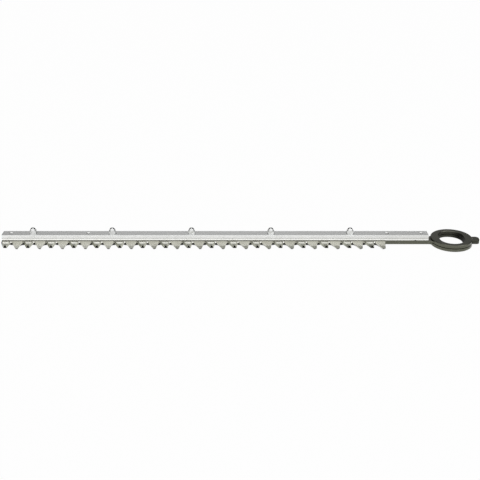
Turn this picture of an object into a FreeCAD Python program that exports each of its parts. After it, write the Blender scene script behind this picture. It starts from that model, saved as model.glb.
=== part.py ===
import FreeCAD, Part
import math
import os
import Sketcher

# Single-sided hedge trimmer blade: two toothed blades that slide under an aluminium guide bar.
# The origin is the centre of the drive eye, on the shear plane between the two blades.
# +X runs from the teeth to the lug, the teeth point to -Y and the guide bar lies on top, at +Z.
# All sizes are in millimetres.

DRIVING_SIZES = {
    # Teeth, as seen from above
    "tooth_pitch": 35.0,
    "tooth_count": 17,
    "tooth_depth": 18.8,
    "tooth_root_width": 16.0,
    "tooth_tip_width": 5.2,
    "tooth_lean": 3.4,
    "gullet_radius": 6.5,
    "bevel_run": 2.0,
    "bevel_runout": 3.3,
    "runout_radius": 2.4,
    "tip_bevel_run": 2.5,
    "tip_land": 0.5,
    # Blade plate and its shank
    "blade_thickness": 3.0,
    "running_gap": 0.1,
    "blade_stroke": 5.0,
    "shank_width": 15.2,
    "shank_length": 104.0,
    "root_step": 2.1,
    "end_reach": 9.5,
    # Ring head with its drive eye and lug
    "eye_radius": 19.0,
    "ring_wall": 8.0,
    "boss_height": 2.25,
    "ring_chamfer": 0.6,
    "ring_relief": 0.35,
    "neck_radius": 8.0,
    "lug_reach": 11.0,
    "lug_width": 14.4,
    "lug_corner": 5.0,
    # Guide bar section and ends
    "bar_width": 16.6,
    "bar_height": 9.15,
    "bar_edge": 0.5,
    "bar_clearance": 0.5,
    "lip_depth": 1.1,
    "lip_height": 2.9,
    "lip_rise": 0.95,
    "lip_edge": 0.75,
    # Screw holes and the grease notch of the guide bar
    "screw_hole_diameter": 4.5,
    "screw_sink": 1.25,
    "guard_hole_inset": 13.4,
    "guard_hole_spacing": 119.5,
    "case_hole_inset": 10.5,
    "case_hole_spacing": 53.0,
    "notch_width": 6.6,
    "notch_height": 1.6,
    "notch_depth": 5.0,
    "notch_inset": 20.3,
    # Bolts, collars, washers and nuts
    "bolt_count": 5,
    "first_bolt": 158.0,
    "tip_bolt_inset": 47.6,
    "bolt_diameter": 6.0,
    "bolt_clearance": 0.2,
    "bolt_chamfer": 0.7,
    "socket_width": 4.0,
    "socket_depth": 1.2,
    "collar_diameter": 9.0,
    "slot_clearance": 0.3,
    "washer_thickness": 1.2,
    "nut_width": 10.0,
    "clamp_rim": 1.0,
    "nut_height": 3.7,
    "dome_step": 0.45,
    "thread_reach": 4.8,
    "thread_clearance": 0.05,
    "tip_clearance": 0.4,
    # How far a cutting shape runs past the solid that it cuts
    "cut_overrun": 1.0,
}

DERIVED_SIZES = {
    # Levels above the shear plane, which the lower blade mirrors below it
    "shear_face": "running_gap / 2",
    "plate_face": "shear_face + blade_thickness",
    "ring_face": "plate_face + boss_height",
    "clamp_face": "plate_face + running_gap",
    "bar_top": "clamp_face + bar_height",
    "washer_top": "bar_top + washer_thickness",
    "bolt_tip": "washer_top + thread_reach",
    "nut_shoulder": "washer_top + nut_height",
    # Distances forward from the blade's centre line, towards the teeth
    "shank_half": "shank_width / 2",
    "root_line": "shank_half + root_step",
    "tip_line": "root_line + tooth_depth",
    "bar_half": "bar_width / 2",
    "bar_front": "bar_half + lip_depth",
    # Distances back from the drive eye, along the blade
    "ring_radius": "eye_radius + blade_stroke + ring_wall",
    "bar_start": "ring_radius + blade_stroke + bar_clearance",
    "first_lower_tip": "shank_length + tooth_root_width / 2 - tooth_lean",
    "first_upper_tip": "first_lower_tip + tooth_pitch / 2",
    "blade_end": "first_upper_tip + (tooth_count - 1) * tooth_pitch + end_reach",
    "bolt_spacing": "(blade_end - tip_bolt_inset - first_bolt) / (bolt_count - 1)",
    # Radii round each bolt
    "bolt_radius": "bolt_diameter / 2",
    "bolt_hole_radius": "bolt_radius + bolt_clearance",
    "thread_radius": "bolt_radius + thread_clearance",
    "collar_radius": "collar_diameter / 2",
    "slot_radius": "collar_radius + slot_clearance",
    "nut_half": "nut_width / 2",
    "clamp_radius": "nut_half + clamp_rim",
    "dome_radius": "nut_half - dome_step",
    # Circle whose lowest arc, pushed up into the bar's foot, leaves the grease notch
    "notch_radius": "(notch_width * notch_width / 4 + notch_height * notch_height) / (2 * notch_height)",
}

UPPER = 1
LOWER = -1
HEXAGON_ANGLES = range(30, 390, 60)
TOLERANCE = 1e-4

doc = FreeCAD.newDocument("hedge_trimmer_blade")
sheet = doc.addObject("Spreadsheet::Sheet", "Sizes")


def fill_sheet():
    """Write the driving sizes as plain numbers, and below them the sizes worked out from them."""
    formulas = {alias: f"={formula}" for alias, formula in DERIVED_SIZES.items()}
    numbers = {alias: str(value) for alias, value in DRIVING_SIZES.items()}
    for row, (alias, content) in enumerate({**numbers, **formulas}.items(), start=1):
        sheet.set(f"A{row}", alias)
        sheet.set(f"B{row}", content)
        sheet.setAlias(f"B{row}", alias)
    doc.recompute()


def value(formula):
    """The number that a formula on the sheet gives."""
    return float(sheet.evalExpression(formula))


# Sketches

def new_body(label):
    body = doc.addObject("PartDesign::Body", label)
    body.Label = label
    return body


def origin_feature(body, role):
    return next(feature for feature in body.Origin.OriginFeatures if feature.Role == role)


def attach(item, body, role, level):
    """Lay an item on one of its body's origin planes, moved along the normal by a formula."""
    item.AttachmentSupport = [(origin_feature(body, role), "")]
    item.MapMode = "FlatFace"
    item.setExpression("AttachmentOffset.Base.z", level)


def new_sketch(body, role, level="0"):
    sketch = body.newObject("Sketcher::SketchObject", "Sketch")
    attach(sketch, body, role, level)
    return sketch


def bind(sketch, constraint, formula):
    index = sketch.addConstraint(constraint)
    sketch.setExpression(f"Constraints[{index}]", formula)


def pin(sketch, geometry, vertex, x, y):
    """Hold a vertex at the place that two formulas give."""
    bind(sketch, Sketcher.Constraint("DistanceX", geometry, vertex, value(x)), x)
    bind(sketch, Sketcher.Constraint("DistanceY", geometry, vertex, value(y)), y)


def point_at(x, y):
    return FreeCAD.Vector(value(x), value(y), 0)


def draw_circle(sketch, radius, x="0", y="0"):
    circle = sketch.addGeometry(Part.Circle(point_at(x, y), FreeCAD.Vector(0, 0, 1), value(radius)))
    pin(sketch, circle, 3, x, y)
    bind(sketch, Sketcher.Constraint("Radius", circle, value(radius)), radius)


def draw_slot(sketch, first, second, radius):
    """A slot with round ends about two centres, each a pair of formulas."""
    start, finish = point_at(*first), point_at(*second)
    heading = finish - start
    side = FreeCAD.Vector(-heading.y, heading.x, 0).normalize() * value(radius)
    along = heading.normalize() * value(radius)
    ends = [
        sketch.addGeometry(Part.Arc(start + side, start - along, start - side)),
        sketch.addGeometry(Part.Arc(finish - side, finish + along, finish + side)),
    ]
    sides = [
        sketch.addGeometry(Part.LineSegment(start - side, finish - side)),
        sketch.addGeometry(Part.LineSegment(finish + side, start + side)),
    ]
    for here, there in ((0, 1), (1, 0)):
        sketch.addConstraint(Sketcher.Constraint("Tangent", ends[here], 2, sides[here], 1))
        sketch.addConstraint(Sketcher.Constraint("Tangent", sides[here], 2, ends[there], 1))
    sketch.addConstraint(Sketcher.Constraint("Equal", ends[0], ends[1]))
    pin(sketch, ends[0], 3, *first)
    pin(sketch, ends[1], 3, *second)
    bind(sketch, Sketcher.Constraint("Radius", ends[0], value(radius)), radius)


def corner_arc(corner, before, after, radius):
    """The arc that rounds a corner, given as its two ends and its middle."""
    back = (before - corner).normalize()
    ahead = (after - corner).normalize()
    half_angle = back.getAngle(ahead) / 2
    reach = radius / math.tan(half_angle)
    middle_reach = radius / math.sin(half_angle) - radius
    middle = corner + (back + ahead).normalize() * middle_reach
    return corner + back * reach, middle, corner + ahead * reach


def draw_outline(sketch, corners):
    """A closed outline through corners, each (x, y) or, where it is rounded, (x, y, radius)."""
    count = len(corners)
    points = [point_at(*corner[:2]) for corner in corners]
    arcs = {}
    for index, corner in enumerate(corners):
        if len(corner) == 3:
            neighbours = points[index - 1], points[(index + 1) % count]
            arcs[index] = corner_arc(points[index], *neighbours, value(corner[2]))
    lines = []
    for index in range(count):
        following = (index + 1) % count
        start = arcs[index][2] if index in arcs else points[index]
        finish = arcs[following][0] if following in arcs else points[following]
        lines.append(sketch.addGeometry(Part.LineSegment(start, finish)))
    for index, corner in enumerate(corners):
        arriving, leaving = lines[index - 1], lines[index]
        if index not in arcs:
            sketch.addConstraint(Sketcher.Constraint("Coincident", arriving, 2, leaving, 1))
            pin(sketch, leaving, 1, *corner)
            continue
        arc = sketch.addGeometry(Part.Arc(*arcs[index]))
        mark = sketch.addGeometry(Part.Point(points[index]), True)
        arc_starts_first = sketch.getPoint(arc, 1).isEqual(arcs[index][0], TOLERANCE)
        first, last = (1, 2) if arc_starts_first else (2, 1)
        sketch.addConstraint(Sketcher.Constraint("Tangent", arriving, 2, arc, first))
        sketch.addConstraint(Sketcher.Constraint("Tangent", arc, last, leaving, 1))
        sketch.addConstraint(Sketcher.Constraint("PointOnObject", mark, 1, arriving))
        sketch.addConstraint(Sketcher.Constraint("PointOnObject", mark, 1, leaving))
        pin(sketch, mark, 1, *corner[:2])
        bind(sketch, Sketcher.Constraint("Radius", arc, value(corner[2])), corner[2])


def draw_rectangle(sketch, left, right, low, high):
    draw_outline(sketch, [(left, low), (right, low), (right, high), (left, high)])


def draw_hexagon(sketch, half_width):
    """A hexagon about the origin, given by half its width across flats."""
    corner_radius = f"({half_width}) / cos(30deg)"
    draw_outline(sketch, [
        (f"{corner_radius} * cos({angle}deg)", f"{corner_radius} * sin({angle}deg)")
        for angle in HEXAGON_ANGLES
    ])


# Features

def pad(body, sketch, length, reverse=False):
    feature = body.newObject("PartDesign::Pad", "Pad")
    feature.Profile = sketch
    feature.setExpression("Length", length)
    feature.Reversed = reverse
    doc.recompute()
    return feature


def pocket(body, sketch, length, reverse=False, taper=None):
    """Cut a sketch into the body, and see that it did cut something."""
    before = body.Shape.Volume
    feature = body.newObject("PartDesign::Pocket", "Pocket")
    feature.Profile = sketch
    feature.setExpression("Length", length)
    feature.Reversed = reverse
    if taper:
        feature.setExpression("TaperAngle", taper)
    doc.recompute()
    if body.Shape.Volume > before - TOLERANCE:
        raise RuntimeError(f"{body.Label}: a pocket cut nothing")
    return feature


def revolve(body, sketch, kind="PartDesign::Revolution"):
    """Turn a sketch once round the Z axis, to add to the body or, as a groove, to cut it."""
    feature = body.newObject(kind, "Turned")
    feature.Profile = sketch
    feature.ReferenceAxis = (sketch, ["V_Axis"])
    feature.Angle = 360
    doc.recompute()
    return feature


def repeat_along_blade(body, features, spacing, count):
    """Repeat some features, or with none the whole body, from the drive end towards the tip."""
    pattern = body.newObject("PartDesign::LinearPattern", "Row")
    if features:
        pattern.Originals = features
    else:
        pattern.TransformMode = "Whole shape"
    pattern.Direction = (origin_feature(body, "X_Axis"), [""])
    pattern.Reversed = True
    pattern.Mode = "Spacing"
    pattern.setExpression("Offset", spacing)
    pattern.setExpression("Occurrences", count)
    body.Tip = pattern
    doc.recompute()


def dress_edges(body, kind, edge_names, size_name, size):
    feature = body.newObject(kind, "Dressed")
    feature.Base = (feature.BaseFeature, edge_names)
    feature.setExpression(size_name, size)
    body.Tip = feature
    doc.recompute()


def upright_edges_at(shape, x, y):
    """Names of the upright edges that stand at x, y and at x, -y."""
    return [
        f"Edge{number}" for number, edge in enumerate(shape.Edges, start=1)
        if all(abs(vertex.X - x) < TOLERANCE for vertex in edge.Vertexes)
        and all(abs(abs(vertex.Y) - y) < TOLERANCE for vertex in edge.Vertexes)
        and edge.BoundBox.YLength < TOLERANCE
    ]


def edges_at_level(shape, level):
    """Names of the edges that lie in the horizontal plane at a level."""
    return [
        f"Edge{number}" for number, edge in enumerate(shape.Edges, start=1)
        if abs(edge.BoundBox.ZMin - level) < TOLERANCE and abs(edge.BoundBox.ZMax - level) < TOLERANCE
    ]


def hole_rims_at_level(shape, level, radius):
    """Names of the circles of one radius that lie in the horizontal plane at a level."""
    rims = []
    for name in edges_at_level(shape, level):
        curve = shape.getElement(name).Curve
        if isinstance(curve, Part.Circle) and abs(curve.Radius - radius) < TOLERANCE:
            rims.append(name)
    return rims


# Blades

def add_blade_blank(body, side):
    """Strip, tooth band with a bevelled front, ring head and lug, at the plate's thickness."""
    level = f"{side} * Sizes.shear_face"
    below = side == LOWER
    strip = new_sketch(body, "XY_Plane", level)
    draw_rectangle(strip, "-Sizes.blade_end", "0", "-Sizes.shank_half", "Sizes.shank_half")
    pad(body, strip, "Sizes.blade_thickness", below)
    outer_level = f"{side} * Sizes.plate_face"
    tooth_band = new_sketch(body, "YZ_Plane", "-Sizes.blade_end")
    draw_outline(tooth_band, [
        ("0", level),
        ("-Sizes.tip_line", level),
        ("-Sizes.tip_line", f"{side} * (Sizes.shear_face + Sizes.tip_land)"),
        ("-Sizes.tip_line + Sizes.tip_bevel_run", outer_level),
        ("0", outer_level),
    ])
    pad(body, tooth_band, "Sizes.blade_end - Sizes.shank_length")
    head = new_sketch(body, "XY_Plane", level)
    draw_circle(head, "Sizes.ring_radius")
    pad(body, head, "Sizes.blade_thickness", below)
    lug = new_sketch(body, "XY_Plane", level)
    draw_rectangle(lug, "0", "Sizes.ring_radius + Sizes.lug_reach",
                   "-Sizes.lug_width / 2", "Sizes.lug_width / 2")
    pad(body, lug, "Sizes.blade_thickness", below)


def round_neck_and_lug(body):
    ring_radius, shank_half = value("Sizes.ring_radius"), value("Sizes.shank_half")
    neck = upright_edges_at(body.Shape, -math.sqrt(ring_radius ** 2 - shank_half ** 2), shank_half)
    dress_edges(body, "PartDesign::Fillet", neck, "Radius", "Sizes.neck_radius")
    lug_end, lug_half = value("Sizes.ring_radius + Sizes.lug_reach"), value("Sizes.lug_width / 2")
    corners = upright_edges_at(body.Shape, lug_end, lug_half)
    dress_edges(body, "PartDesign::Fillet", corners, "Radius", "Sizes.lug_corner")


def add_ring_boss(body, side):
    """Thicken the ring on its outer side, cut the drive eye and break the boss's edges."""
    boss = new_sketch(body, "XY_Plane", f"{side} * Sizes.plate_face")
    draw_circle(boss, "Sizes.ring_radius")
    pad(body, boss, "Sizes.boss_height", side == LOWER)
    eye = new_sketch(body, "XY_Plane", f"{side} * Sizes.shear_face")
    draw_slot(eye, ("0", "-Sizes.blade_stroke"), ("0", "Sizes.blade_stroke"), "Sizes.eye_radius")
    pocket(body, eye, "Sizes.ring_face + Sizes.cut_overrun", side == UPPER)
    rims = edges_at_level(body.Shape, side * value("Sizes.ring_face"))
    dress_edges(body, "PartDesign::Chamfer", rims, "Size", "Sizes.ring_chamfer")


def relieve_ring(body, side):
    """Sink the ring's inner face, so that the two rings do not rub on each other."""
    relief = new_sketch(body, "XY_Plane", f"{side} * Sizes.shear_face")
    draw_circle(relief, "Sizes.ring_radius + Sizes.cut_overrun")
    pocket(body, relief, "Sizes.ring_relief", side == UPPER)


def draw_gullet(body, side, first_tip, floor_line, floor_radius):
    """Sketch one gullet on the shear face, between its flanks and a floor with rounded corners."""
    upright_run = "(Sizes.tooth_root_width - Sizes.tooth_tip_width) / 2 - Sizes.tooth_lean"
    raked_run = "(Sizes.tooth_root_width - Sizes.tooth_tip_width) / 2 + Sizes.tooth_lean"
    left = f"-{first_tip} - Sizes.tooth_lean + Sizes.tooth_root_width / 2"
    right = f"{left} + Sizes.tooth_pitch - Sizes.tooth_root_width"
    mouth_line = "(Sizes.tip_line + Sizes.cut_overrun)"
    corners = []
    for line, radius in ((mouth_line, None), (floor_line, floor_radius)):
        share = f"({line} - Sizes.root_line) / Sizes.tooth_depth"
        ends = [
            (f"{left} - ({upright_run}) * {share}", f"-{line}"),
            (f"{right} + ({raked_run}) * {share}", f"-{line}"),
        ]
        corners += [(*end, radius) for end in reversed(ends)] if radius else ends
    sketch = new_sketch(body, "XY_Plane", f"{side} * Sizes.shear_face")
    draw_outline(sketch, corners)
    return sketch


def cut_teeth(body, side, first_tip):
    """Cut square gullets, then bevel their flanks away from a sharp edge on the shear face."""
    depth = "Sizes.blade_thickness + Sizes.cut_overrun"
    gullet = draw_gullet(body, side, first_tip, "Sizes.root_line", "Sizes.gullet_radius")
    square_cut = pocket(body, gullet, depth, side == UPPER)
    bevel_floor = "(Sizes.root_line + Sizes.bevel_runout)"
    bevels = draw_gullet(body, side, first_tip, bevel_floor, "Sizes.runout_radius")
    bevel_cut = pocket(body, bevels, depth, side == UPPER, "atan(Sizes.bevel_run / Sizes.blade_thickness)")
    cuts = [square_cut, bevel_cut]
    repeat_along_blade(body, cuts, "Sizes.tooth_pitch", "Sizes.tooth_count + 1")


def cut_bolt_slots(body, side):
    """Cut the slots in which the blade slides along the bolts' collars."""
    slot = new_sketch(body, "XY_Plane", f"{side} * Sizes.shear_face")
    draw_slot(slot, ("-Sizes.first_bolt - Sizes.blade_stroke", "0"),
              ("-Sizes.first_bolt + Sizes.blade_stroke", "0"), "Sizes.slot_radius")
    cut = pocket(body, slot, "Sizes.blade_thickness + Sizes.cut_overrun", side == UPPER)
    repeat_along_blade(body, [cut], "Sizes.bolt_spacing", "Sizes.bolt_count")


def make_blade(label, side, first_tip):
    body = new_body(label)
    add_blade_blank(body, side)
    round_neck_and_lug(body)
    add_ring_boss(body, side)
    relieve_ring(body, side)
    cut_teeth(body, side, first_tip)
    cut_bolt_slots(body, side)
    return body


# Guide bar

def make_guide_bar():
    """Extruded bar with a lip along its front, bolt holes, countersunk screw holes and a grease notch."""
    body = new_body("guide_bar")
    section = new_sketch(body, "YZ_Plane", "-Sizes.blade_end")
    lip_foot = "Sizes.clamp_face + Sizes.lip_rise"
    lip_top = f"{lip_foot} + Sizes.lip_height"
    draw_outline(section, [
        ("-Sizes.bar_half", "Sizes.clamp_face"),
        ("Sizes.bar_half", "Sizes.clamp_face", "Sizes.bar_edge"),
        ("Sizes.bar_half", "Sizes.bar_top", "Sizes.bar_edge"),
        ("-Sizes.bar_half", "Sizes.bar_top", "Sizes.bar_edge"),
        ("-Sizes.bar_half", lip_top),
        ("-Sizes.bar_front", lip_top, "Sizes.lip_edge"),
        ("-Sizes.bar_front", lip_foot, "Sizes.lip_edge"),
    ])
    pad(body, section, "Sizes.blade_end - Sizes.bar_start")

    bolt_hole = new_sketch(body, "XY_Plane")
    draw_circle(bolt_hole, "Sizes.bolt_hole_radius", "-Sizes.first_bolt")
    hole_depth = "Sizes.bar_top + Sizes.cut_overrun"
    cut = pocket(body, bolt_hole, hole_depth, reverse=True)
    repeat_along_blade(body, [cut], "Sizes.bolt_spacing", "Sizes.bolt_count")

    screw_holes = new_sketch(body, "XY_Plane")
    guard_end = "-Sizes.blade_end + Sizes.guard_hole_inset"
    case_end = "-Sizes.bar_start - Sizes.case_hole_inset"
    draw_circle(screw_holes, "Sizes.screw_hole_diameter / 2", guard_end)
    draw_circle(screw_holes, "Sizes.screw_hole_diameter / 2", f"{guard_end} + Sizes.guard_hole_spacing")
    draw_circle(screw_holes, "Sizes.screw_hole_diameter / 2", case_end)
    draw_circle(screw_holes, "Sizes.screw_hole_diameter / 2", f"{case_end} - Sizes.case_hole_spacing")
    pocket(body, screw_holes, hole_depth, reverse=True)
    rims = hole_rims_at_level(body.Shape, value("Sizes.bar_top"), value("Sizes.screw_hole_diameter / 2"))
    dress_edges(body, "PartDesign::Chamfer", rims, "Size", "Sizes.screw_sink")

    notch = new_sketch(body, "XZ_Plane", "Sizes.bar_front")
    draw_circle(notch, "Sizes.notch_radius", "-Sizes.bar_start - Sizes.notch_inset",
                "Sizes.clamp_face + Sizes.notch_height - Sizes.notch_radius")
    pocket(body, notch, "Sizes.notch_depth")
    return body


# Bolts, collars, washers and nuts

def place_at_bolt(body, number=0):
    body.setExpression("Placement.Base.x", f"-Sizes.first_bolt - {number} * Sizes.bolt_spacing")
    doc.recompute()


def repeat_at_bolts(body):
    """Set a finished fastener at every bolt of the row."""
    repeat_along_blade(body, [], "Sizes.bolt_spacing", "Sizes.bolt_count")
    place_at_bolt(body)


def make_guide_bolts():
    """Low-head socket bolts, whose heads end level with the lower ring."""
    body = new_body("guide_bolts")
    profile = new_sketch(body, "XZ_Plane")
    draw_outline(profile, [
        ("0", "-Sizes.ring_face"),
        ("Sizes.clamp_radius - Sizes.bolt_chamfer", "-Sizes.ring_face"),
        ("Sizes.clamp_radius", "-Sizes.ring_face + Sizes.bolt_chamfer"),
        ("Sizes.clamp_radius", "-Sizes.clamp_face"),
        ("Sizes.bolt_radius", "-Sizes.clamp_face"),
        ("Sizes.bolt_radius", "Sizes.bolt_tip - Sizes.bolt_chamfer"),
        ("Sizes.bolt_radius - Sizes.bolt_chamfer", "Sizes.bolt_tip"),
        ("0", "Sizes.bolt_tip"),
    ])
    revolve(body, profile)
    socket = new_sketch(body, "XY_Plane", "-Sizes.ring_face")
    draw_hexagon(socket, "Sizes.socket_width / 2")
    pocket(body, socket, "Sizes.socket_depth", reverse=True)
    repeat_at_bolts(body)
    return body


def make_slot_collar(number):
    """Spacer collar that keeps bar and bolt head apart, so that the blades stay free to slide."""
    body = new_body(f"slot_collar_{number + 1}")
    ring = new_sketch(body, "XY_Plane", "-Sizes.clamp_face")
    draw_circle(ring, "Sizes.collar_radius")
    draw_circle(ring, "Sizes.bolt_hole_radius")
    pad(body, ring, "2 * Sizes.clamp_face")
    place_at_bolt(body, number)
    return body


def make_top_washers():
    body = new_body("top_washers")
    ring = new_sketch(body, "XY_Plane", "Sizes.bar_top")
    draw_circle(ring, "Sizes.clamp_radius")
    draw_circle(ring, "Sizes.bolt_hole_radius")
    pad(body, ring, "Sizes.washer_thickness")
    repeat_at_bolts(body)
    return body


def make_cap_nuts():
    """Hexagon nuts with chamfered corners, a closed dome and a blind bore."""
    body = new_body("cap_nuts")
    hexagon = new_sketch(body, "XY_Plane", "Sizes.washer_top")
    draw_hexagon(hexagon, "Sizes.nut_half")
    pad(body, hexagon, "Sizes.nut_height")

    chamfer = new_sketch(body, "XZ_Plane")
    outside = "Sizes.nut_half / cos(30deg) + Sizes.cut_overrun"
    drop = f"({outside} - Sizes.nut_half) * tan(30deg)"
    draw_outline(chamfer, [
        ("Sizes.nut_half", "Sizes.nut_shoulder"),
        (outside, f"Sizes.nut_shoulder - {drop}"),
        (outside, "Sizes.nut_shoulder"),
    ])
    revolve(body, chamfer, "PartDesign::Groove")

    dome = body.newObject("PartDesign::AdditiveSphere", "Dome")
    attach(dome, body, "XY_Plane", "Sizes.nut_shoulder")
    dome.setExpression("Radius", "Sizes.dome_radius")
    dome.Angle1 = 0
    doc.recompute()

    bore = new_sketch(body, "XY_Plane", "Sizes.washer_top")
    draw_circle(bore, "Sizes.thread_radius")
    pocket(body, bore, "Sizes.thread_reach + Sizes.tip_clearance", reverse=True)
    repeat_at_bolts(body)
    return body


def check_document(pieces):
    """Stop if any object failed to build, or any piece has no valid solid."""
    for item in doc.Objects:
        if "Invalid" in item.State or "Error" in item.State:
            raise RuntimeError(f"{item.Label} failed: {item.State}")
    for piece in pieces:
        if piece.Shape.isNull() or not piece.Shape.isValid() or not piece.Shape.Solids:
            raise RuntimeError(f"{piece.Label} has no valid solid")


def export(pieces):
    os.makedirs("parts", exist_ok=True)
    for piece in pieces:
        piece.Shape.exportStep(f"parts/{piece.Label}.step")
        print(f"{piece.Label}: {len(piece.Shape.Solids)} solid, {piece.Shape.Volume:.1f} mm3")


fill_sheet()
pieces = [
    make_guide_bar(),
    make_blade("upper_blade", UPPER, "Sizes.first_upper_tip"),
    make_blade("lower_blade", LOWER, "Sizes.first_lower_tip"),
    make_guide_bolts(),
    make_top_washers(),
    make_cap_nuts(),
]
pieces += [make_slot_collar(number) for number in range(int(value("Sizes.bolt_count")))]
doc.recompute()
check_document(pieces)
export(pieces)
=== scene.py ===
"""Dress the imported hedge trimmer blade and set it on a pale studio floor."""

import logging
from dataclasses import dataclass, field
from enum import Enum
from typing import Union

import bpy
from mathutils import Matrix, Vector


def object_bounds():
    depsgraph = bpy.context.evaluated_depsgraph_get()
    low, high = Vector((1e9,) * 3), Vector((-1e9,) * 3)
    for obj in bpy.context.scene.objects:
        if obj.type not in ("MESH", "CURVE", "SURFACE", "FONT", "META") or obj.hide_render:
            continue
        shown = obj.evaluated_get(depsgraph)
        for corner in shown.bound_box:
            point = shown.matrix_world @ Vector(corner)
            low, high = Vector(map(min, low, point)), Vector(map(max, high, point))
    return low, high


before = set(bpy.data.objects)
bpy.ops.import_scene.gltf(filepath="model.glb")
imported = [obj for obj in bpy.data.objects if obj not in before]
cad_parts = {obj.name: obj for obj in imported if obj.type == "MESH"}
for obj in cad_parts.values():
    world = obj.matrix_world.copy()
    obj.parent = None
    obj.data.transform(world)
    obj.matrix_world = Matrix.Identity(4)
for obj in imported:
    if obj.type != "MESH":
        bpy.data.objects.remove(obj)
CAD_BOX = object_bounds()

log = logging.getLogger("hedge_trimmer_blade")

Colour = tuple[float, float, float, float]
Triple = tuple[float, float, float]
Source = Union[bpy.types.NodeSocket, float, int, Colour, Triple]


class Blend(Enum):
    """How two colours are put together."""

    MIX = "MIX"
    MULTIPLY = "MULTIPLY"


class NodeBench:
    """A shader node tree that is being put together."""

    def __init__(self, tree: bpy.types.NodeTree) -> None:
        """Start from an empty tree.

        Args:
            tree: The node tree of a material, a world or a group.
        """
        self.tree = tree
        tree.nodes.clear()

    def feed(self, socket: bpy.types.NodeSocket, source: Source) -> None:
        """Link a socket to another one, or give it a constant.

        Args:
            socket: The input socket.
            source: An output socket, or the constant.
        """
        if isinstance(source, bpy.types.NodeSocket):
            self.tree.links.new(source, socket)
        else:
            socket.default_value = source

    def add(
        self,
        kind: str,
        inputs: dict[Union[str, int], Source] | None = None,
        **settings: object,
    ) -> bpy.types.Node:
        """Add a node.

        Args:
            kind: The node's type, without the part that all shader nodes share.
            inputs: What its input sockets get, by name or place.
            **settings: The node's own settings.

        Returns:
            The new node.
        """
        node = self.tree.nodes.new(f"ShaderNode{kind}")
        for name, setting in settings.items():
            setattr(node, name, setting)
        for key, source in (inputs or {}).items():
            self.feed(node.inputs[key], source)
        return node

    def math(self, operation: str, *values: Source, clamp: bool = False) -> bpy.types.NodeSocket:
        """Work out one number from others.

        Args:
            operation: The name of the sum, as the Math node has it.
            *values: The numbers or sockets that go in.
            clamp: Whether the result is kept between 0 and 1.

        Returns:
            The socket with the result.
        """
        inputs = dict(enumerate(values))
        return self.add("Math", inputs, operation=operation, use_clamp=clamp).outputs[0]

    def remap(self, number: Source, low: float, high: float, smooth: bool = False) -> bpy.types.NodeSocket:
        """Stretch a range of numbers to run from 0 to 1.

        Args:
            number: The number that goes in.
            low: What becomes 0.
            high: What becomes 1.
            smooth: Whether the ends of the range are eased.

        Returns:
            The socket with the result.
        """
        kind = "SMOOTHSTEP" if smooth else "LINEAR"
        inputs = {"Value": number, "From Min": low, "From Max": high}
        return self.add("MapRange", inputs, interpolation_type=kind).outputs["Result"]

    def mix(
        self, share: Source, first: Source, second: Source, blend: Blend = Blend.MIX
    ) -> bpy.types.NodeSocket:
        """Put two colours together.

        Args:
            share: How much of the second one shows.
            first: The colour at a share of 0.
            second: The colour at a share of 1.
            blend: How the two are put together.

        Returns:
            The socket with the colour.
        """
        node = self.add("Mix", data_type="RGBA", blend_type=blend.value)
        self.feed(node.inputs["Factor"], share)
        self.feed(node.inputs[6], first)
        self.feed(node.inputs[7], second)
        return node.outputs[2]

    def lerp(self, share: Source, first: Source, second: Source) -> bpy.types.NodeSocket:
        """Slide from one number to another.

        Args:
            share: How far to slide, from 0 to 1.
            first: The number at 0.
            second: The number at 1.

        Returns:
            The socket with the number.
        """
        node = self.add("Mix", data_type="FLOAT")
        self.feed(node.inputs["Factor"], share)
        self.feed(node.inputs[2], first)
        self.feed(node.inputs[3], second)
        return node.outputs[0]


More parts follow.
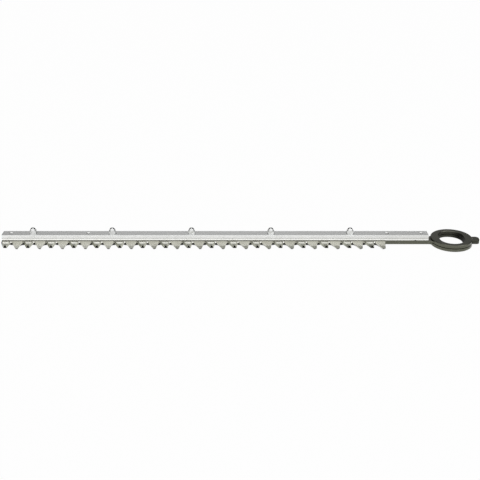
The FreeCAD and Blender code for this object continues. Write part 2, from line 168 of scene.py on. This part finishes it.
class EffectLibrary:
    """The shader node groups that several finishes share."""

    def __init__(self) -> None:
        """Build every group once."""
        self.edge_wear = self._edge_wear()
        self.drawn_grain = self._drawn_grain()
        self.blotches = self._blotches()
        self.scratches = self._scratches()

    @staticmethod
    def _new_group(
        name: str, inputs: dict[str, tuple[str, float | None]], outputs: list[str]
    ) -> tuple[NodeBench, bpy.types.Node, bpy.types.Node]:
        """Start a group with its named sockets.

        Args:
            name: The group's name.
            inputs: The type and the usual value of each input.
            outputs: The names of the outputs, all plain numbers.

        Returns:
            The bench, the node with the group's inputs and the node with its outputs.
        """
        tree = bpy.data.node_groups.new(name, "ShaderNodeTree")
        for socket_name, (kind, usual) in inputs.items():
            socket = tree.interface.new_socket(socket_name, in_out="INPUT", socket_type=kind)
            if usual is not None:
                socket.default_value = usual
        for socket_name in outputs:
            tree.interface.new_socket(socket_name, in_out="OUTPUT", socket_type="NodeSocketFloat")
        bench = NodeBench(tree)
        return bench, tree.nodes.new("NodeGroupInput"), tree.nodes.new("NodeGroupOutput")

    def _edge_wear(self) -> bpy.types.NodeTree:
        """Bright rubbed edges, broken up by noise.

        Returns:
            The group.
        """
        bench, given, result = self._new_group(
            "Edge wear",
            {
                "Vector": ("NodeSocketVector", None),
                "Radius": ("NodeSocketFloat", 0.0004),
                "Breakup": ("NodeSocketFloat", 300.0),
            },
            ["Mask"],
        )
        rounded = bench.add("Bevel", {"Radius": given.outputs["Radius"]}, samples=6)
        plain = bench.add("NewGeometry")
        alike = bench.add(
            "VectorMath",
            {0: rounded.outputs["Normal"], 1: plain.outputs["Normal"]},
            operation="DOT_PRODUCT",
        ).outputs["Value"]
        edge = bench.remap(alike, 0.985, 0.86)
        noise = bench.add(
            "TexNoise",
            {"Vector": given.outputs["Vector"], "Scale": given.outputs["Breakup"], "Detail": 3.0},
        )
        broken = bench.remap(noise.outputs["Fac"], 0.3, 0.62)
        bench.feed(result.inputs["Mask"], bench.math("MULTIPLY", edge, broken, clamp=True))
        return bench.tree

    def _drawn_grain(self) -> bpy.types.NodeTree:
        """Fine lines that run one way, as drawing or grinding leaves them.

        Returns:
            The group.
        """
        bench, given, result = self._new_group(
            "Drawn grain",
            {
                "Vector": ("NodeSocketVector", None),
                "Along X": ("NodeSocketFloat", 20.0),
                "Along Y": ("NodeSocketFloat", 2000.0),
                "Along Z": ("NodeSocketFloat", 2000.0),
            },
            ["Fine", "Coarse"],
        )
        stretch = bench.add(
            "CombineXYZ", {axis: given.outputs[f"Along {axis}"] for axis in ("X", "Y", "Z")}
        )
        stretched = bench.add(
            "VectorMath",
            {0: given.outputs["Vector"], 1: stretch.outputs["Vector"]},
            operation="MULTIPLY",
        )
        for output, scale, detail in (("Fine", 1.0, 2.0), ("Coarse", 0.22, 2.0)):
            noise = bench.add(
                "TexNoise",
                {"Vector": stretched.outputs["Vector"], "Scale": scale, "Detail": detail},
            )
            bench.feed(result.inputs[output], bench.remap(noise.outputs["Fac"], 0.28, 0.72))
        return bench.tree

    def _blotches(self) -> bpy.types.NodeTree:
        """Soft uneven patches, as a plating or a stain has.

        Returns:
            The group.
        """
        bench, given, result = self._new_group(
            "Blotches",
            {
                "Vector": ("NodeSocketVector", None),
                "Scale": ("NodeSocketFloat", 60.0),
                "Swirl": ("NodeSocketFloat", 0.6),
            },
            ["Mask", "Speckle"],
        )
        wide = bench.add(
            "TexNoise",
            {
                "Vector": given.outputs["Vector"],
                "Scale": given.outputs["Scale"],
                "Detail": 5.0,
                "Roughness": 0.62,
                "Distortion": given.outputs["Swirl"],
            },
        )
        bench.feed(result.inputs["Mask"], bench.remap(wide.outputs["Fac"], 0.36, 0.66, True))
        close = bench.math("MULTIPLY", given.outputs["Scale"], 14.0)
        fine = bench.add(
            "TexNoise", {"Vector": given.outputs["Vector"], "Scale": close, "Detail": 2.0}
        )
        bench.feed(result.inputs["Speckle"], bench.remap(fine.outputs["Fac"], 0.35, 0.68))
        return bench.tree

    def _scratches(self) -> bpy.types.NodeTree:
        """Thin stray scratches.

        Returns:
            The group.
        """
        bench, given, result = self._new_group(
            "Scratches",
            {
                "Vector": ("NodeSocketVector", None),
                "Scale": ("NodeSocketFloat", 60.0),
                "Width": ("NodeSocketFloat", 0.02),
            },
            ["Mask"],
        )
        bent = bench.add(
            "TexNoise", {"Vector": given.outputs["Vector"], "Scale": 25.0, "Detail": 1.0}
        )
        bend = bench.add(
            "VectorMath", {0: bent.outputs["Color"], 1: (0.012, 0.012, 0.012)}, operation="MULTIPLY"
        )
        moved = bench.add(
            "VectorMath", {0: given.outputs["Vector"], 1: bend.outputs["Vector"]}, operation="ADD"
        )
        cells = bench.add(
            "TexVoronoi",
            {"Vector": moved.outputs["Vector"], "Scale": given.outputs["Scale"]},
            feature="DISTANCE_TO_EDGE",
        )
        thin = bench.math("LESS_THAN", cells.outputs["Distance"], given.outputs["Width"])
        patchy = bench.add(
            "TexNoise", {"Vector": given.outputs["Vector"], "Scale": 130.0, "Detail": 2.0}
        )
        some = bench.remap(patchy.outputs["Fac"], 0.5, 0.6)
        bench.feed(result.inputs["Mask"], bench.math("MULTIPLY", thin, some))
        return bench.tree


class FinishBench(NodeBench):
    """The node tree of one finish, with its shader and its coordinates ready."""

    def __init__(self, name: str) -> None:
        """Start a metal finish.

        Args:
            name: The material's name.
        """
        self.material = bpy.data.materials.new(name)
        self.material.use_nodes = True
        super().__init__(self.material.node_tree)
        self.shader = self.add("BsdfPrincipled", {"Metallic": 1.0})
        output = self.add("OutputMaterial")
        self.tree.links.new(self.shader.outputs["BSDF"], output.inputs["Surface"])
        coordinates = self.add("TexCoord")
        self.place = coordinates.outputs["Object"]
        self.facing = coordinates.outputs["Normal"]

    def effect(self, group: bpy.types.NodeTree, **values: Source) -> bpy.types.Node:
        """Put a shared effect into this finish.

        Args:
            group: The effect's node group.
            **values: The group's inputs, with underscores for spaces.

        Returns:
            The group's node.
        """
        node = self.add("Group", node_tree=group)
        self.feed(node.inputs["Vector"], self.place)
        for name, value in values.items():
            self.feed(node.inputs[name.replace("_", " ")], value)
        return node

    def paint(self, **sources: Source) -> None:
        """Feed the shader.

        Args:
            **sources: The shader's inputs, with underscores for spaces.
        """
        for name, source in sources.items():
            self.feed(self.shader.inputs[name.replace("_", " ")], source)

    def bump(self, height: Source, distance: float) -> None:
        """Give the surface a fine relief.

        Args:
            height: The relief, from 0 to 1.
            distance: How deep the relief is, in metres.
        """
        relief = self.add("Bump", {"Strength": 1.0, "Distance": distance, "Height": height})
        self.feed(self.shader.inputs["Normal"], relief.outputs["Normal"])


@dataclass(frozen=True)
class ExtrudedAluminium:
    """Bright drawn aluminium with lines along its length, with a painted highlight on the lip's nose and
    painted shade in the step and along the lip's lower edge.
    """

    name: str = "extruded_aluminium"
    clean: Colour = (0.90, 0.905, 0.895, 1.0)
    dull: Colour = (0.80, 0.81, 0.805, 1.0)
    # Rubbed edges and marks, and also the painted highlight on the lip's nose.
    rubbed: Colour = (0.96, 0.96, 0.945, 1.0)
    # Painted shade in the inner corner of the step above the lip.
    step_painted_shade: Colour = (0.40, 0.40, 0.37, 1.0)
    smooth: float = 0.46
    rough: float = 0.6
    line_depth: float = 0.000002
    nose_highlight_reach: tuple[float, float] = (-0.0086, -0.0092)
    step_line: Triple = (0.0, -0.0083, 0.0070)
    step_shade_reach: tuple[float, float] = (0.0009, 0.0003)
    # Painted shade along the lip's lower edge, over the gap to the blade.
    lip_foot_painted_shade: Colour = (0.50, 0.50, 0.46, 1.0)
    lip_foot_shade_reach: tuple[float, float] = (0.0049, 0.0044)
    lip_from: float = -0.0084
    # Front faces are darker towards the drive end.
    drive_front_tone: Colour = (0.87, 0.87, 0.855, 1.0)
    drive_reach: tuple[float, float] = (-0.115, -0.095)
    front_facing: tuple[float, float] = (-0.4, -0.8)
    stain_share: float = 0.3
    stain_rough: float = 0.5
    mark_share: float = 0.35
    line_rough: float = 0.5
    line_relief: float = 0.4
    line_shade: tuple[float, float] = (0.94, 1.0)
    step_share: tuple[float, float] = (0.6, 0.9)

    def make(self, effects: EffectLibrary) -> bpy.types.Material:
        """Make the material.

        Args:
            effects: The shared node groups.

        Returns:
            The material.
        """
        bench = FinishBench(self.name)
        lines = bench.effect(effects.drawn_grain, Along_X=5.0, Along_Y=1700.0, Along_Z=1700.0)
        stain = bench.effect(effects.blotches, Scale=22.0)
        marks = bench.effect(effects.scratches, Scale=36.0, Width=0.008)
        wear = bench.effect(effects.edge_wear, Radius=0.0004, Breakup=220.0)
        fine, coarse = lines.outputs["Fine"], lines.outputs["Coarse"]
        dulled = bench.math("MULTIPLY", stain.outputs["Mask"], self.stain_share)
        colour = bench.mix(dulled, self.clean, self.dull)
        shade = bench.lerp(coarse, *self.line_shade)
        colour = bench.mix(1.0, colour, shade, Blend.MULTIPLY)
        faint_marks = bench.math("MULTIPLY", marks.outputs["Mask"], self.mark_share)
        bright = bench.math("MAXIMUM", faint_marks, wear.outputs["Mask"])
        place = bench.add("SeparateXYZ", {"Vector": bench.place})
        # Painted highlight: the lip's nose takes the rubbed colour.
        painted_nose_highlight = bench.remap(place.outputs["Y"], *self.nose_highlight_reach, True)
        colour = bench.mix(bench.math("MAXIMUM", bright, painted_nose_highlight), colour, self.rubbed)
        # Painted shade along the step's inner corner, broken up by the coarse grain.
        from_step = bench.add(
            "VectorMath", {0: bench.place, 1: self.step_line}, operation="SUBTRACT"
        )
        across_step = bench.add(
            "VectorMath", {0: from_step.outputs["Vector"], 1: (0.0, 1.0, 1.0)}, operation="MULTIPLY"
        )
        step_distance = bench.add(
            "VectorMath", {0: across_step.outputs["Vector"]}, operation="LENGTH"
        ).outputs["Value"]
        in_step = bench.remap(step_distance, *self.step_shade_reach, True)
        step_shade = bench.math("MULTIPLY", in_step, bench.lerp(coarse, *self.step_share))
        colour = bench.mix(step_shade, colour, self.step_painted_shade)
        # Front faces are darker towards the drive end.
        facing = bench.add("SeparateXYZ", {"Vector": bench.facing})
        in_front = bench.remap(facing.outputs["Y"], *self.front_facing)
        near_drive = bench.remap(place.outputs["X"], *self.drive_reach, True)
        front_near_drive = bench.math("MULTIPLY", in_front, near_drive)
        colour = bench.mix(front_near_drive, colour, self.drive_front_tone, Blend.MULTIPLY)
        # Painted shade on the lip's lower edge.
        lip_foot_shade = bench.remap(place.outputs["Z"], *self.lip_foot_shade_reach)
        on_lip = bench.math("LESS_THAN", place.outputs["Y"], self.lip_from)
        colour = bench.mix(bench.math("MULTIPLY", lip_foot_shade, on_lip), colour, self.lip_foot_painted_shade)
        clouded = bench.math("MULTIPLY", stain.outputs["Mask"], self.stain_rough)
        spread = bench.math("MULTIPLY_ADD", fine, self.line_rough, clouded)
        bench.paint(Base_Color=colour, Roughness=bench.lerp(spread, self.smooth, self.rough))
        relief = bench.math("MULTIPLY_ADD", fine, self.line_relief, coarse)
        bench.bump(relief, self.line_depth)
        return bench.material


@dataclass(frozen=True)
class BladeSteel:
    """Black-oxide blade steel, ground bright on the teeth's flats and bevels, with painted shade, painted
    shadow of the lip and painted glints on the teeth and gullets, and painted shade on the walls and in the
    eye.
    """

    name: str = "blade_steel_ground"
    oxide: Colour = (0.130, 0.131, 0.107, 1.0)
    oxide_worn: Colour = (0.145, 0.146, 0.119, 1.0)
    # Walls take a slightly darker copy of the oxide, as painted shade.
    oxide_wall_painted_shade: Colour = (0.118, 0.120, 0.093, 1.0)
    # Painted shade on the walls of the eye and the lug.
    eye_painted_shade: Colour = (0.060, 0.061, 0.048, 1.0)
    # Near-black of the seam between the stacked rings, also used as painted shade at the lower blade's
    # roots, on the eye walls and at the foot of the gullet corners.
    seam_and_painted_shade: Colour = (0.016, 0.016, 0.012, 1.0)
    flat: Colour = (0.93, 0.925, 0.87, 1.0)
    # Painted reflection shade on the flats towards the tooth tips, made lighter by painted light on the
    # lower blade near the bar's tip.
    flat_tip_painted_shade: Colour = (0.31, 0.313, 0.27, 1.0)
    flat_tip_painted_light: Colour = (0.60, 0.60, 0.55, 1.0)
    tip_light_reach: tuple[float, float] = (-0.42, -0.58)
    # Rubbed shear faces, and also the painted glint on the lit run-out of the bevels.
    polished_and_glint: Colour = (0.96, 0.955, 0.91, 1.0)
    gullet: Colour = (0.56, 0.56, 0.51, 1.0)
    # Painted glint on the side-facing corners of the upper gullet walls.
    corner: Colour = (0.70, 0.695, 0.65, 1.0)
    # Bevels facing left take painted shade, bevels facing right take painted light.
    bevel_painted_shade: Colour = (0.52, 0.525, 0.455, 1.0)
    bevel_painted_light: Colour = (0.86, 0.865, 0.785, 1.0)
    tarnish: Colour = (0.40, 0.385, 0.32, 1.0)
    # Painted shadow of the bar's lip on the tooth roots.
    lip_painted_shadow: Colour = (0.50, 0.50, 0.44, 1.0)
    # Painted shade on the bevels' run-out into the gullets.
    run_out_painted_shade: Colour = (0.20, 0.20, 0.165, 1.0)
    tooth_end_black: Colour = (0.012, 0.012, 0.010, 1.0)
    tooth_end_grey: Colour = (0.15, 0.148, 0.14, 1.0)
    ground_from: float = -0.104
    tooth_front: float = -0.0085
    tooth_end: float = -0.0255
    end_facing: tuple[float, float] = (-0.6, -0.7)
    rub_reach: tuple[float, float] = (-0.023, -0.015)
    flat_shade_reach: tuple[float, float] = (-0.0172, -0.0202)
    root_reach: tuple[float, float] = (-0.0185, -0.0160)
    lip_shadow_reach: tuple[float, float] = (-0.0112, -0.0102)
    run_out_facing: tuple[float, float] = (-0.42, -0.5)
    run_out_lit: tuple[float, float] = (-0.62, -0.7)
    run_out_side: tuple[float, float] = (0.0, 0.2)
    corner_facing: tuple[float, float] = (0.3, 0.6)
    corner_foot_shade: tuple[float, float] = (0.0015, 0.0009)
    flank_facing: tuple[float, float] = (-0.3, 0.3)
    eye_side: tuple[float, float] = (-0.3, -0.8)
    relief_reach: float = 0.0331
    wall_lip_shadow_reach: tuple[float, float] = (0.0016, 0.0026)
    lug_from: float = 0.0310
    plate_middle: float = 0.0015
    seam_reach: float = 0.0006
    eye_reach: float = 0.028
    slope_facing: tuple[float, float] = (0.98, 0.9)
    wall_facing: tuple[float, float] = (0.3, 0.2)
    haze_share: float = 0.25
    wear_share: float = 0.35
    mark_share: float = 0.1
    line_shade: tuple[float, float] = (0.9, 1.0)
    line_rough: float = 0.1
    flat_rough: float = 0.27
    flank_rough: tuple[float, float] = (0.22, 0.45)
    oxide_rough: tuple[float, float] = (0.26, 0.36)
    eye_rough: float = 0.62
    relief_depth: float = 0.000003

    def make(self, effects: EffectLibrary) -> bpy.types.Material:
        """Make the material.

        Args:
            effects: The shared node groups.

        Returns:
            The material.
        """
        bench = FinishBench(self.name)
        place = bench.add("SeparateXYZ", {"Vector": bench.place})
        facing = bench.add("SeparateXYZ", {"Vector": bench.facing})
        along, across = place.outputs["X"], place.outputs["Y"]
        level = bench.math("ABSOLUTE", place.outputs["Z"])
        upright = bench.math("ABSOLUTE", facing.outputs["Z"])
        sloped = bench.remap(upright, *self.slope_facing)
        wall = bench.remap(upright, *self.wall_facing)
        toothed = bench.math("LESS_THAN", along, self.ground_from)
        inner = bench.math("LESS_THAN", level, self.plate_middle)
        above = bench.math("GREATER_THAN", place.outputs["Z"], 0.0)
        below = bench.math("SUBTRACT", 1.0, above)
        rub = bench.math("MULTIPLY", inner, bench.remap(across, *self.rub_reach, True))
        from_eye = bench.math("SQRT", bench.math("ADD", bench.math("POWER", along, 2.0),
                                                 bench.math("POWER", across, 2.0)))

        flat_lines = bench.effect(effects.drawn_grain, Along_X=35.0, Along_Y=1600.0, Along_Z=900.0)
        bevel_lines = bench.effect(effects.drawn_grain, Along_X=1500.0, Along_Y=80.0, Along_Z=120.0)
        haze = bench.effect(effects.blotches, Scale=45.0)
        marks = bench.effect(effects.scratches, Scale=70.0, Width=0.012)
        wear = bench.effect(effects.edge_wear, Radius=0.0005, Breakup=260.0)
        lines = bench.lerp(sloped, flat_lines.outputs["Fine"], bevel_lines.outputs["Fine"])

        # Painted shade on the flats towards the tooth tips, with painted light on the lower blade near the
        # bar's tip.
        lit_near_bar_tip = bench.math("MULTIPLY", below, bench.remap(along, *self.tip_light_reach, True))
        flat_tip_painted_shade = bench.mix(lit_near_bar_tip, self.flat_tip_painted_shade, self.flat_tip_painted_light)
        flats = bench.mix(bench.remap(across, *self.flat_shade_reach, True), self.flat, flat_tip_painted_shade)
        # Painted shadow of the lip on the flats at the tooth roots.
        flats = bench.mix(bench.remap(across, *self.lip_shadow_reach, True), flats, self.lip_painted_shadow)
        flats = bench.mix(rub, flats, self.polished_and_glint)
        hazy = bench.math("MULTIPLY", haze.outputs["Mask"], self.haze_share)
        flats = bench.mix(hazy, flats, self.tarnish)
        # Painted shade on the lower blade's bevels at the tooth roots.
        at_root = bench.remap(across, *self.root_reach, True)
        under_root_painted_shade = bench.math("MULTIPLY", at_root, below)
        # Painted light on right-facing flank bevels, painted shade on left-facing ones.
        lit_right_flank = bench.remap(facing.outputs["X"], *self.flank_facing)
        bevels = bench.mix(lit_right_flank, self.bevel_painted_shade, self.bevel_painted_light)
        # Painted shade on the bevels' run-out towards the roots.
        bevels = bench.mix(
            bench.remap(facing.outputs["Y"], *self.run_out_facing, True), bevels, self.run_out_painted_shade
        )
        # Painted glint: run-out bevels facing forward and to the right take the polished colour.
        lit = bench.math("MULTIPLY", bench.remap(facing.outputs["Y"], *self.run_out_lit, True),
                         bench.remap(facing.outputs["X"], *self.run_out_side))
        bevels = bench.mix(lit, bevels, self.polished_and_glint)
        bevels = bench.mix(under_root_painted_shade, bevels, self.seam_and_painted_shade)
        steel = bench.mix(sloped, flats, bevels)
        steel = bench.mix(1.0, steel, bench.lerp(lines, *self.line_shade), Blend.MULTIPLY)

        dark = bench.mix(haze.outputs["Mask"], self.oxide, self.oxide_worn)
        shaded = bench.math("LESS_THAN", from_eye, self.eye_reach)
        shaded = bench.math("MAXIMUM", shaded, bench.math("GREATER_THAN", along, self.lug_from))
        # Painted shade on the eye and lug walls, near-black on walls facing -X.
        eye_wall_shade = bench.mix(
            bench.remap(facing.outputs["X"], *self.eye_side), self.eye_painted_shade, self.seam_and_painted_shade
        )
        # Walls take the painted-shade copy of the oxide, and the eye and lug walls take the eye's painted
        # shade.
        dark_wall = bench.mix(shaded, self.oxide_wall_painted_shade, eye_wall_shade)
        dark = bench.mix(wall, dark, dark_wall)
        worn = bench.math("MULTIPLY", wear.outputs["Mask"], self.wear_share)
        dark = bench.mix(worn, dark, self.tarnish)
        marked = bench.math("MULTIPLY", marks.outputs["Mask"], self.mark_share)
        dark = bench.mix(marked, dark, self.flat)
        parting = bench.math("MULTIPLY", bench.math("LESS_THAN", level, self.seam_reach),
                             bench.math("LESS_THAN", from_eye, self.relief_reach))
        dark = bench.mix(parting, dark, self.seam_and_painted_shade)

        in_front = bench.math("LESS_THAN", across, self.tooth_front)
        # Painted glint on the side-facing corners of the upper gullet walls, with painted shade at their
        # foot.
        aside = bench.math("ABSOLUTE", facing.outputs["X"])
        corner = bench.remap(aside, *self.corner_facing)
        corner_glint_and_shade = bench.mix(
            bench.remap(level, *self.corner_foot_shade), self.corner, self.seam_and_painted_shade
        )
        upper_wall = bench.mix(corner, self.gullet, corner_glint_and_shade)
        # Painted shadow of the lip on the upper part of the gullet walls.
        upper_wall = bench.mix(bench.remap(level, *self.wall_lip_shadow_reach), upper_wall, self.lip_painted_shadow)
        # The lower blade's root walls take painted shade.
        root_wall = bench.mix(above, self.seam_and_painted_shade, upper_wall)
        toothed_wall = bench.math("MULTIPLY", toothed, wall)
        dark = bench.mix(bench.math("MULTIPLY", toothed_wall, in_front), dark, root_wall)

        at_end = bench.math("LESS_THAN", across, self.tooth_end)
        end_face = bench.remap(facing.outputs["Y"], *self.end_facing)
        end_share = bench.math("MULTIPLY", toothed, bench.math("MULTIPLY", at_end, end_face))
        end_colour = bench.mix(above, self.tooth_end_grey, self.tooth_end_black)
        dark = bench.mix(end_share, dark, end_colour)
        steel = bench.mix(end_share, steel, end_colour)

        bare = bench.math("MULTIPLY", toothed, bench.math("SUBTRACT", 1.0, wall))
        bevel_rough = bench.lerp(lit_right_flank, *self.flank_rough)
        ground_rough = bench.lerp(sloped, self.flat_rough, bevel_rough)
        bare_rough = bench.math("MULTIPLY_ADD", lines, self.line_rough, ground_rough)
        dark_rough = bench.lerp(haze.outputs["Speckle"], *self.oxide_rough)
        dark_rough = bench.lerp(bench.math("MULTIPLY", shaded, wall), dark_rough, self.eye_rough)
        bench.paint(
            Base_Color=bench.mix(bare, dark, steel),
            Roughness=bench.lerp(bare, dark_rough, bare_rough),
        )
        bench.bump(bench.lerp(bare, haze.outputs["Speckle"], lines), self.relief_depth)
        return bench.material


@dataclass(frozen=True)
class PlatedSteel:
    """Zinc-plated fastener steel with a faint bloom."""

    name: str = "zinc_plated_steel"
    bright: Colour = (0.72, 0.725, 0.72, 1.0)
    bloom: Colour = (0.58, 0.59, 0.58, 1.0)
    rubbed: Colour = (0.78, 0.78, 0.77, 1.0)
    smooth: float = 0.17
    rough: float = 0.28
    bloom_share: float = 0.6
    mark_share: float = 0.5
    relief_depth: float = 0.000002

    def make(self, effects: EffectLibrary) -> bpy.types.Material:
        """Make the material.

        Args:
            effects: The shared node groups.

        Returns:
            The material.
        """
        bench = FinishBench(self.name)
        bloom = bench.effect(effects.blotches, Scale=180.0)
        wear = bench.effect(effects.edge_wear, Radius=0.0003, Breakup=500.0)
        marks = bench.effect(effects.scratches, Scale=160.0, Width=0.02)
        share = bench.math("MULTIPLY", bloom.outputs["Mask"], self.bloom_share)
        colour = bench.mix(share, self.bright, self.bloom)
        marked = bench.math("MULTIPLY", marks.outputs["Mask"], self.mark_share)
        rub = bench.math("MAXIMUM", wear.outputs["Mask"], marked)
        bench.paint(
            Base_Color=bench.mix(rub, colour, self.rubbed),
            Roughness=bench.lerp(bloom.outputs["Mask"], self.smooth, self.rough),
        )
        bench.bump(bloom.outputs["Speckle"], self.relief_depth)
        return bench.material


@dataclass(frozen=True)
class CollarSteel:
    """Turned and hardened steel of the hidden spacer collars."""

    name: str = "turned_collar_steel"
    clean: Colour = (0.50, 0.50, 0.49, 1.0)
    oiled: Colour = (0.30, 0.29, 0.26, 1.0)
    smooth: float = 0.25
    rough: float = 0.45
    relief_depth: float = 0.000008

    def make(self, effects: EffectLibrary) -> bpy.types.Material:
        """Make the material.

        Args:
            effects: The shared node groups.

        Returns:
            The material.
        """
        bench = FinishBench(self.name)
        turning = bench.effect(effects.drawn_grain, Along_X=60.0, Along_Y=60.0, Along_Z=5000.0)
        oil = bench.effect(effects.blotches, Scale=150.0)
        colour = bench.mix(oil.outputs["Mask"], self.clean, self.oiled)
        bench.paint(
            Base_Color=colour,
            Roughness=bench.lerp(turning.outputs["Fine"], self.smooth, self.rough),
        )
        bench.bump(turning.outputs["Fine"], self.relief_depth)
        return bench.material


def dress_node(node: str, material: bpy.types.Material) -> None:
    """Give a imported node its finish.

    Args:
        node: The node's name.
        material: The finish.
    """
    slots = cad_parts[node].material_slots
    if not slots:
        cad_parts[node].data.materials.append(material)
    for slot in slots:
        slot.material = material
    log.info("%s is dressed in %s", node, material.name)


@dataclass
class GuideBar:
    """The extruded bar on top of the blades."""

    node: str = "guide_bar"
    finish: ExtrudedAluminium = field(default_factory=ExtrudedAluminium)

    def dress(self, effects: EffectLibrary) -> None:
        """Finish the bar in drawn aluminium."""
        dress_node(self.node, self.finish.make(effects))


@dataclass
class BladePair:
    """The two toothed blades."""

    nodes: tuple[str, str] = ("upper_blade", "lower_blade")
    finish: BladeSteel = field(default_factory=BladeSteel)

    def dress(self, effects: EffectLibrary) -> None:
        """Finish both blades alike.

        Args:
            effects: The shared node groups.
        """
        material = self.finish.make(effects)
        for node in self.nodes:
            dress_node(node, material)


@dataclass
class Fasteners:
    """Bolts, washers, cap nuts and the collars between them."""

    plated: tuple[str, ...] = ("guide_bolts", "top_washers", "cap_nuts")
    collars: tuple[str, ...] = tuple(f"slot_collar_{number}" for number in range(1, 6))
    finish: PlatedSteel = field(default_factory=PlatedSteel)
    collar_finish: CollarSteel = field(default_factory=CollarSteel)

    def dress(self, effects: EffectLibrary) -> None:
        """Finish the fasteners.

        Args:
            effects: The shared node groups.
        """
        plated = self.finish.make(effects)
        for node in self.plated:
            dress_node(node, plated)
        turned = self.collar_finish.make(effects)
        for node in self.collars:
            dress_node(node, turned)


@dataclass(frozen=True)
class SoftBox:
    """A large soft lamp."""

    name: str
    place: Triple
    width: float
    depth: float
    watts: float

    def build(self, aim: Vector) -> None:
        """Hang the lamp and turn it to the part.

        Args:
            aim: The point that it lights.
        """
        data = bpy.data.lights.new(self.name, "AREA")
        data.shape = "RECTANGLE"
        data.size = self.width
        data.size_y = self.depth
        data.energy = self.watts
        lamp = bpy.data.objects.new(self.name, data)
        bpy.context.scene.collection.objects.link(lamp)
        lamp.location = self.place
        lamp.rotation_euler = (aim - Vector(self.place)).to_track_quat("-Z", "Y").to_euler()


@dataclass
class Studio:
    """Floor, light and camera."""

    floor_reach: float = 20.0
    floor_colour: Colour = (0.94, 0.94, 0.94, 1.0)
    floor_glow: float = 0.96
    mirrored_glow: float = 0.96
    camera_place: Triple = (-0.3281, -1.1748, 0.5335)
    camera_aim: Triple = (-0.3281, 0.0, 0.0006)
    lens: float = 62.25
    sensor: float = 36.0
    clip_start: float = 0.01
    sky: tuple[tuple[float, float], ...] = (
        (0.0, 0.05), (0.2, 0.2), (0.42, 0.33), (0.7, 0.72), (1.0, 1.0),
    )
    backdrop_edge: tuple[float, float] = (0.22, 0.42)
    corner_shade: Colour = (0.04, 0.04, 0.04, 1.0)
    behind_from: tuple[float, float] = (-0.35, 0.12)
    front_card: Colour = (1.2, 1.2, 1.2, 1.0)
    card_edge: tuple[float, float] = (0.6, 0.9)
    card_side: Colour = (0.75, 0.75, 0.75, 1.0)
    lamps: tuple[SoftBox, ...] = (
        SoftBox("left_softbox", (-2.3, -0.8, 1.35), 1.6, 1.6, 4.5),
        SoftBox("right_softbox", (1.64, -0.8, 1.35), 1.6, 1.6, 7.0),
    )

    def build_floor(self) -> None:
        """Lay a pale floor that looks white and keeps the part's shadow."""
        level = CAD_BOX[0][2]
        reach = self.floor_reach
        mesh = bpy.data.meshes.new("studio_floor")
        corners = [
            (-reach, -reach, level), (reach, -reach, level), (reach, reach, level), (-reach, reach, level),
        ]
        mesh.from_pydata(corners, [], [(0, 1, 2, 3)])
        floor = bpy.data.objects.new("studio_floor", mesh)
        bpy.context.scene.collection.objects.link(floor)

        material = bpy.data.materials.new("studio_floor_paper")
        material.use_nodes = True
        bench = NodeBench(material.node_tree)
        path = bench.add("LightPath")
        mirrored = bench.math("MAXIMUM", path.outputs["Is Glossy Ray"], path.outputs["Is Transmission Ray"])
        paper = bench.add("BsdfDiffuse", {"Color": self.floor_colour})
        glow = bench.add("Emission", {"Color": (1.0, 1.0, 1.0, 1.0), "Strength": 1.0})
        seen = bench.math("MULTIPLY", path.outputs["Is Camera Ray"], self.floor_glow)
        share = bench.math("MULTIPLY_ADD", mirrored, self.mirrored_glow, seen)
        blend = bench.add("MixShader", {0: share, 1: paper.outputs[0], 2: glow.outputs[0]})
        output = bench.add("OutputMaterial")
        bench.feed(output.inputs["Surface"], blend.outputs[0])
        mesh.materials.append(material)

    def build_light(self) -> None:
        """Light the part by a bright front card, a sky that pales upwards behind it, and the lamps."""
        world = bpy.data.worlds.new("studio_sky")
        world.use_nodes = True
        bpy.context.scene.world = world
        bench = NodeBench(world.node_tree)
        direction = bench.add("SeparateXYZ", {"Vector": bench.add("TexCoord").outputs["Generated"]})
        ramp = bench.add("ValToRGB", {"Fac": direction.outputs["Z"]})
        steps = ramp.color_ramp.elements
        while len(steps) < len(self.sky):
            steps.new(1.0)
        for step, (place, level) in zip(steps, self.sky):
            step.position = place
            step.color = (level, level, level, 1.0)
        sideways = bench.math("ABSOLUTE", direction.outputs["X"])
        aside = bench.remap(sideways, *self.backdrop_edge, True)
        behind = bench.remap(direction.outputs["Y"], *self.behind_from, True)
        backdrop = bench.mix(aside, ramp.outputs["Color"], self.corner_shade, Blend.MULTIPLY)
        card = bench.mix(bench.remap(sideways, *self.card_edge, True), self.front_card, self.card_side)
        colour = bench.mix(behind, card, backdrop)
        sky = bench.add("Background", {"Color": colour, "Strength": 1.0})
        output = bench.add("OutputWorld")
        bench.feed(output.inputs["Surface"], sky.outputs[0])
        for lamp in self.lamps:
            lamp.build(Vector(self.camera_aim))

    def build_camera(self) -> None:
        """Set the camera at the viewing angle of the reference."""
        data = bpy.data.cameras.new("studio_camera")
        data.lens = self.lens
        data.sensor_width = self.sensor
        data.clip_start = self.clip_start
        camera = bpy.data.objects.new("studio_camera", data)
        bpy.context.scene.collection.objects.link(camera)
        place, aim = Vector(self.camera_place), Vector(self.camera_aim)
        camera.location = place
        camera.rotation_euler = (aim - place).to_track_quat("-Z", "Y").to_euler()
        bpy.context.scene.camera = camera

    def build(self) -> None:
        """Set up floor, light and camera."""
        bpy.context.scene.view_settings.view_transform = "Standard"
        self.build_floor()
        self.build_light()
        self.build_camera()


def main() -> None:
    """Dress every sub-assembly, then set the studio round it."""
    logging.basicConfig(level=logging.INFO)
    effects = EffectLibrary()
    for assembly in (GuideBar(), BladePair(), Fasteners()):
        assembly.dress(effects)
    Studio().build()


if __name__ == "__main__":
    main()
